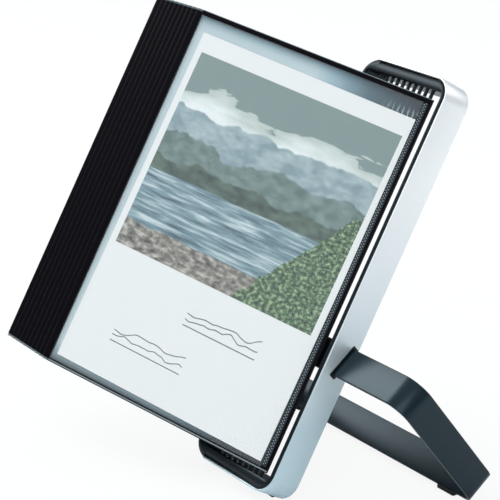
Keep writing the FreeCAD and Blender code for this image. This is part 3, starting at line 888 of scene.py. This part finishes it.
@dataclass
class RingFoot:
    """Flat steel bent to a closed ring that props the frame up."""

    half_width: float = 134.4
    drop: float = 125.7
    top: float = 1.5
    strip: float = 3.0
    strip_width: float = 26.5
    bend: float = 18.0
    foot_bend: float = 10.0

    def outline(self, inside: float) -> list[Point2]:
        """The ring's outline, set in by some of the strip's thickness."""
        half = self.half_width - inside
        return rounded_rectangle(
            -half, half, -self.drop + inside, self.top - inside, self.bend - inside, 20, self.foot_bend - inside
        )

    def build(self) -> None:
        """Make the bent strip."""
        outer, inner = self.outline(0.0), self.outline(self.strip)
        section = strip_section(self.strip, self.strip_width, 0.8, 4, -self.strip_width / 2)
        points, faces = loft(outer, inner, section, closed=True)
        ring = make_piece("ring_strip", points, faces, RingSeat().matrix, Finish.FOOT, 40.0)
        settle(ring, "stand", "coated_steel", "foot_ring")


# ---- the pages


@dataclass
class Page:
    """One page: its black surround, thick free edge with smoky caps, two films and the welded seam."""

    seat: PageSeat
    width: float = 227.6
    height: float = 319.0
    thickness: float = 2.0
    tail: float = 3.9
    spine: float = 3.5
    edge: float = 7.0
    edge_thickness: float = 2.7
    strip: float = 3.0
    head: float = 4.2
    film: float = 0.25
    seat_lap: float = 1.5
    cap: float = 2.2

    def build(self) -> None:
        """Make every piece of the page."""
        self.build_surround()
        self.build_free_edge()
        self.build_films()
        self.build_glint_lips()
        self.build_seam()

    def build_surround(self) -> None:
        """The flat black strips round the window."""
        half = self.thickness / 2
        inner_edge = self.width - self.edge
        outer = rounded_rectangle(-self.tail, inner_edge + 1.0, 0.0, self.height, 0.6, 3)
        inner = rounded_rectangle(self.spine, inner_edge, self.strip, self.height - self.head, 0.3, 3)
        section = [(0.0, -half * 0.5), (0.0, half * 0.5), (0.12, half), (0.95, half), (1.0, half * 0.8)]
        section += [(1.0, -half * 0.8), (0.95, -half), (0.12, -half)]
        points, faces = loft(outer, inner, section, closed=True)
        points = [(x, -y, z) for x, y, z in points]
        surround = make_piece(
            f"surround_{self.seat.tag}", points, faces, self.seat.matrix, Finish.PAGE, 30.0
        )
        settle(surround, self.seat.body, "page_plastic", f"page_frame_{self.seat.tag}")

    def edge_outline(self, grow: float = 0.0) -> list[Point2]:
        """Section of the free edge: a flattened round."""
        cx = self.width - self.edge / 2
        a = self.edge / 2 + grow
        b = self.edge_thickness / 2 + grow
        points = []
        for i in range(24):
            t = 2 * math.pi * i / 24
            c, s = math.cos(t), math.sin(t)
            points.append((cx + a * math.copysign(abs(c) ** 0.55, c), b * math.copysign(abs(s) ** 0.55, s)))
        return points

    def build_free_edge(self) -> None:
        """The thick free edge and its two smoky end caps."""
        outline = self.edge_outline()
        points, faces = extrude(outline, self.cap, self.height - self.cap)
        profile = make_piece(f"edge_profile_{self.seat.tag}", points, faces, self.seat.matrix, Finish.PAGE, 60.0)
        settle(profile, self.seat.body, "page_plastic")
        for end, low, high in (
            ("lower", 0.0, self.cap - 0.05),
            ("upper", self.height - self.cap + 0.05, self.height),
        ):
            points, faces = extrude(outline, low, high, 1.2)
            cap = make_piece(
                f"edge_cap_{end}_{self.seat.tag}", points, faces, self.seat.matrix, Finish.CAP, 60.0
            )
            settle(cap, self.seat.body, "page_plastic")

    def build_films(self) -> None:
        """Clear front film and frosted rear film."""
        low = self.strip - self.seat_lap + 0.05
        left = self.spine - self.seat_lap + 0.05
        right = self.width - self.edge + self.seat_lap - 0.05
        half = self.thickness / 2
        front_low = half - self.film - 0.05
        # the front page's rear film carries the painted shade and painted reflections
        rear = Finish.FROSTED_FRONT_PAINTED_SHADE if self.seat.number == 1 else Finish.FROSTED
        for face, base, finish in (("front", front_low, Finish.CLEAR), ("rear", -half + 0.05, rear)):
            points, faces = block((left, base, low), (right, base + self.film, self.height - low))
            film = make_piece(f"film_{face}_{self.seat.tag}", points, faces, self.seat.matrix, finish)
            map_flat(film, "PageMap", self.seat.matrix, (0.0, self.width), (0.0, self.height))
            nodes = (f"page_pocket_{self.seat.tag}",) if face == "front" else ()
            settle(film, self.seat.body, "clear_film", *nodes)

    def build_glint_lips(self) -> None:
        """The film's welded borders along the bottom and top strips, thin pale lines of painted highlight where the
        film's edges glint.
        """
        face = self.thickness / 2
        for end, low, high in (("lower", 0.8, 1.9), ("upper", self.height - 0.45, self.height + 0.1)):
            points, faces = block((-self.tail + 0.4, face - 0.2, low), (self.width - self.edge, face + 0.06, high))
            glint_lip = make_piece(f"film_glint_lip_{end}_{self.seat.tag}", points, faces, self.seat.matrix, Finish.GLINT_LIP)
            settle(glint_lip, self.seat.body, "clear_film")

    def build_seam(self) -> None:
        """The film's border on the hinge strip and the two rows of small welds down it."""
        face = self.thickness / 2
        points, faces = block((-1.2, face - 0.2, 4.0), (self.spine - 0.3, face + 0.04, self.height - 4.6))
        border = make_piece(f"film_border_{self.seat.tag}", points, faces, self.seat.matrix, Finish.BORDER)
        settle(border, self.seat.body, "clear_film")
        seam = SeamTree(length=self.height - 12.0).build(f"seam_welds_{self.seat.tag}")
        place = Matrix.Translation((1.9, face + 0.05, 6.0))
        seam.data.transform(self.seat.matrix @ place)
        settle(seam, self.seat.body, "clear_film")


@dataclass
class SeamTree:
    """Geometry Nodes that set one small weld at every step of a straight seam."""

    length: float
    step: float = 2.4
    row_gap: float = 1.4
    weld_width: float = 0.85
    weld_height: float = 0.9
    weld_depth: float = 0.12

    def tree(self) -> bpy.types.GeometryNodeTree:
        """The node group, built once.

        Returns:
            A tree with Length, Step, Row Gap and Weld Size inputs.
        """
        found = bpy.data.node_groups.get("seam_welds")
        if found:
            return found
        tree = bpy.data.node_groups.new("seam_welds", "GeometryNodeTree")
        face = tree.interface
        face.new_socket("Geometry", in_out="INPUT", socket_type="NodeSocketGeometry")
        face.new_socket("Length", in_out="INPUT", socket_type="NodeSocketFloat")
        face.new_socket("Step", in_out="INPUT", socket_type="NodeSocketFloat")
        face.new_socket("Row Gap", in_out="INPUT", socket_type="NodeSocketFloat")
        face.new_socket("Weld Size", in_out="INPUT", socket_type="NodeSocketVector")
        face.new_socket("Geometry", in_out="OUTPUT", socket_type="NodeSocketGeometry")
        given = add_node(tree, "NodeGroupInput")
        end = add_node(tree, "ShaderNodeCombineXYZ", None, {"Z": given.outputs["Length"]})
        count = add_node(
            tree,
            "ShaderNodeMath",
            {"operation": "DIVIDE"},
            {0: given.outputs["Length"], 1: given.outputs["Step"]},
        )
        line = add_node(tree, "GeometryNodeCurvePrimitiveLine", None, {"End": end.outputs["Vector"]})
        points = add_node(
            tree,
            "GeometryNodeResampleCurve",
            None,
            {"Curve": line.outputs["Curve"], "Count": count.outputs["Value"]},
        )
        cube = add_node(tree, "GeometryNodeMeshCube", None, {"Size": given.outputs["Weld Size"]})
        half = add_node(
            tree, "ShaderNodeMath", {"operation": "MULTIPLY", 1: 0.5}, {0: given.outputs["Step"]}
        )
        aside = add_node(
            tree, "ShaderNodeCombineXYZ", None, {"X": given.outputs["Row Gap"], "Z": half.outputs["Value"]}
        )
        second = add_node(
            tree,
            "GeometryNodeTransform",
            None,
            {"Geometry": cube.outputs["Mesh"], "Translation": aside.outputs["Vector"]},
        )
        pair = add_node(tree, "GeometryNodeJoinGeometry")
        for source in (cube.outputs["Mesh"], second.outputs["Geometry"]):
            tree.links.new(source, pair.inputs["Geometry"])
        place = add_node(
            tree,
            "GeometryNodeInstanceOnPoints",
            None,
            {"Points": points.outputs["Curve"], "Instance": pair.outputs["Geometry"]},
        )
        real = add_node(tree, "GeometryNodeRealizeInstances", None, {"Geometry": place.outputs["Instances"]})
        paint = add_node(
            tree,
            "GeometryNodeSetMaterial",
            {"Material": Finish.WELD.material},
            {"Geometry": real.outputs["Geometry"]},
        )
        add_node(tree, "NodeGroupOutput", None, {"Geometry": paint.outputs["Geometry"]})
        return tree

    def build(self, name: str) -> bpy.types.Object:
        """Evaluate the tree into a plain mesh object in millimetres.

        Args:
            name: the object's name.

        Returns:
            The object, with no modifier left.
        """
        tree = self.tree()
        holder = bpy.data.objects.new(f"{name}_source", bpy.data.meshes.new(f"{name}_source"))
        bpy.context.scene.collection.objects.link(holder)
        modifier = holder.modifiers.new("seam", "NODES")
        modifier.node_group = tree
        values = {
            "Length": self.length,
            "Step": self.step,
            "Row Gap": -self.row_gap,
            "Weld Size": (self.weld_width, self.weld_depth, self.weld_height),
        }
        for item in tree.interface.items_tree:
            if item.in_out == "INPUT" and item.name in values:
                modifier[item.identifier] = values[item.name]
        holder.update_tag()
        bpy.context.view_layer.update()
        evaluated = holder.evaluated_get(bpy.context.evaluated_depsgraph_get())
        mesh = bpy.data.meshes.new_from_object(evaluated)
        bpy.data.objects.remove(holder)
        piece = bpy.data.objects.new(name, mesh)
        bpy.context.scene.collection.objects.link(piece)
        return piece


@dataclass
class PrintedSheet:
    """The A4 sheet in the front page."""

    seat: PageSeat
    width: float = 210.0
    height: float = 293.2
    thickness: float = 0.2
    left: float = 5.2
    low: float = 6.45
    off: float = 0.3
    slant: float = 0.6

    def build(self) -> None:
        """Make the sheet, which stands a little askew in its pocket, with its own UV map."""
        right, high = self.left + self.width, self.low + self.height
        points, faces = block((self.left, self.off, self.low), (right, self.off + self.thickness, high))
        corner = Matrix.Translation((self.left, 0.0, self.low))
        place = self.seat.matrix @ corner @ Matrix.Rotation(-math.radians(self.slant), 4, "Y") @ corner.inverted()
        sheet = make_piece("printed_sheet", points, faces, place, Finish.PAPER)
        map_flat(sheet, "SheetMap", place, (right, self.left), (self.low, high))
        settle(sheet, self.seat.body, "paper", "insert_sheet")


# ---- CAD pieces that only need their finish


@dataclass
class PlainNodes:
    """CAD nodes that are shown as they are."""

    finishes: dict[str, Finish]

    def build(self) -> None:
        """Give each node its finish."""
        for name, finish in self.finishes.items():
            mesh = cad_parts[name].data
            mesh.materials.clear()
            mesh.materials.append(finish.material)
            log.info("dressed %s", name)


# ---- studio


@dataclass
class Studio:
    """Pale floor, soft lamps and the camera at the photograph's angle."""

    azimuth: float = 54.76
    elevation: float = 19.33
    distance: float = 1.5646
    target: Point3 = (-0.0112, 0.0082, 0.1927)
    lens: float = 145.2

    def build(self) -> None:
        """Make the floor, the world, the lamps and the camera."""
        self.build_floor()
        self.build_world()
        self.build_lamp("key", (-1.9, -0.9, 2.1), 1.6, 46.0)
        self.build_lamp("fill", (2.2, -1.4, 1.5), 1.8, 24.0)
        self.build_lamp("rim", (0.8, 2.2, 1.8), 1.6, 18.0)
        self.build_camera()

    def build_floor(self) -> None:
        """A wide pale floor that the camera sees as nearly white, with the shadow kept."""
        material, tree = new_material("pale_floor")
        base = add_node(tree, "ShaderNodeBsdfDiffuse", {"Color": hex_linear("F2F2F2")})
        glow = add_node(tree, "ShaderNodeEmission", {"Color": (1.0, 1.0, 1.0, 1.0), "Strength": 1.0})
        path = add_node(tree, "ShaderNodeLightPath")
        seen = joined(tree, "MAXIMUM", path.outputs["Is Camera Ray"], path.outputs["Is Transmission Ray"])
        share = add_node(tree, "ShaderNodeMath", {"operation": "MULTIPLY", 1: 0.87}, {0: seen})
        mix = add_node(
            tree,
            "ShaderNodeMixShader",
            None,
            {0: share.outputs[0], 1: base.outputs["BSDF"], 2: glow.outputs["Emission"]},
        )
        add_node(tree, "ShaderNodeOutputMaterial", None, {"Surface": mix.outputs["Shader"]})
        mesh = bpy.data.meshes.new("floor")
        reach = 12.0
        corners = [(-reach, -reach, 0.0), (reach, -reach, 0.0), (reach, reach, 0.0), (-reach, reach, 0.0)]
        mesh.from_pydata(corners, [], [(0, 1, 2, 3)])
        mesh.materials.append(material)
        floor = bpy.data.objects.new("floor", mesh)
        bpy.context.scene.collection.objects.link(floor)

    def build_world(self) -> None:
        """A white world to the eye; to the light a soft dome, bright overhead and dim at the horizon."""
        world = bpy.data.worlds.new("studio")
        world.use_nodes = True
        tree = world.node_tree
        tree.nodes.clear()
        path = add_node(tree, "ShaderNodeLightPath")
        seen = joined(tree, "MAXIMUM", path.outputs["Is Camera Ray"], path.outputs["Is Transmission Ray"])
        way = add_node(tree, "ShaderNodeTexCoord")
        rise = add_node(tree, "ShaderNodeSeparateXYZ", None, {0: way.outputs["Generated"]})
        dome = add_node(
            tree,
            "ShaderNodeMapRange",
            {"From Min": 0.0, "From Max": 0.9, "To Min": 0.18, "To Max": 1.0},
            {"Value": rise.outputs["Z"]},
        )
        bright = add_node(tree, "ShaderNodeBackground", {"Color": (1.0, 1.0, 1.0, 1.0), "Strength": 1.0})
        soft = add_node(
            tree, "ShaderNodeBackground", {"Color": hex_linear("DFEAF1")}, {"Strength": dome.outputs["Result"]}
        )
        mix = add_node(
            tree,
            "ShaderNodeMixShader",
            None,
            {0: seen, 1: soft.outputs["Background"], 2: bright.outputs["Background"]},
        )
        add_node(tree, "ShaderNodeOutputWorld", None, {"Surface": mix.outputs["Shader"]})
        bpy.context.scene.world = world

    def build_lamp(self, name: str, place: Point3, size: float, watts: float) -> None:
        """A square soft lamp that looks at the stand."""
        light = bpy.data.lights.new(name, "AREA")
        light.size = size
        light.energy = watts
        lamp = bpy.data.objects.new(name, light)
        lamp.location = place
        lamp.rotation_euler = (Vector(self.target) - Vector(place)).to_track_quat("-Z", "Y").to_euler()
        bpy.context.scene.collection.objects.link(lamp)

    def build_camera(self) -> None:
        """The camera at the photograph's place."""
        camera = bpy.data.objects.new("camera", bpy.data.cameras.new("camera"))
        camera.data.lens = self.lens
        camera.data.sensor_width = 36.0
        az, el = math.radians(self.azimuth), math.radians(self.elevation)
        away = Vector((math.sin(az) * math.cos(el), -math.cos(az) * math.cos(el), math.sin(el)))
        camera.location = Vector(self.target) + away * self.distance
        camera.rotation_euler = away.to_track_quat("Z", "Y").to_euler()
        bpy.context.scene.collection.objects.link(camera)
        bpy.context.scene.camera = camera


def main() -> None:
    """Build every piece of the stand in order."""
    logging.basicConfig(level=logging.INFO)
    bpy.context.scene.view_settings.view_transform = "Standard"
    StandFrame().build()
    RingFoot().build()
    for number in range(1, 11):
        Page(PageSeat(number)).build()
    PrintedSheet(PageSeat(1)).build()
    PlainNodes(
        {
            "upper_comb": Finish.CORE,
            "lower_comb": Finish.CORE,
            "slot_bush_right": Finish.BUSH,
            "slot_bush_left": Finish.BUSH,
            "foot_pad_right": Finish.RUBBER,
            "foot_pad_left": Finish.RUBBER,
            "front_foot_strip": Finish.RUBBER,
            **{f"page_pins_{n:02d}": Finish.CORE for n in range(1, 11)},
        }
    ).build()
    Studio().build()


if __name__ == "__main__":
    main()
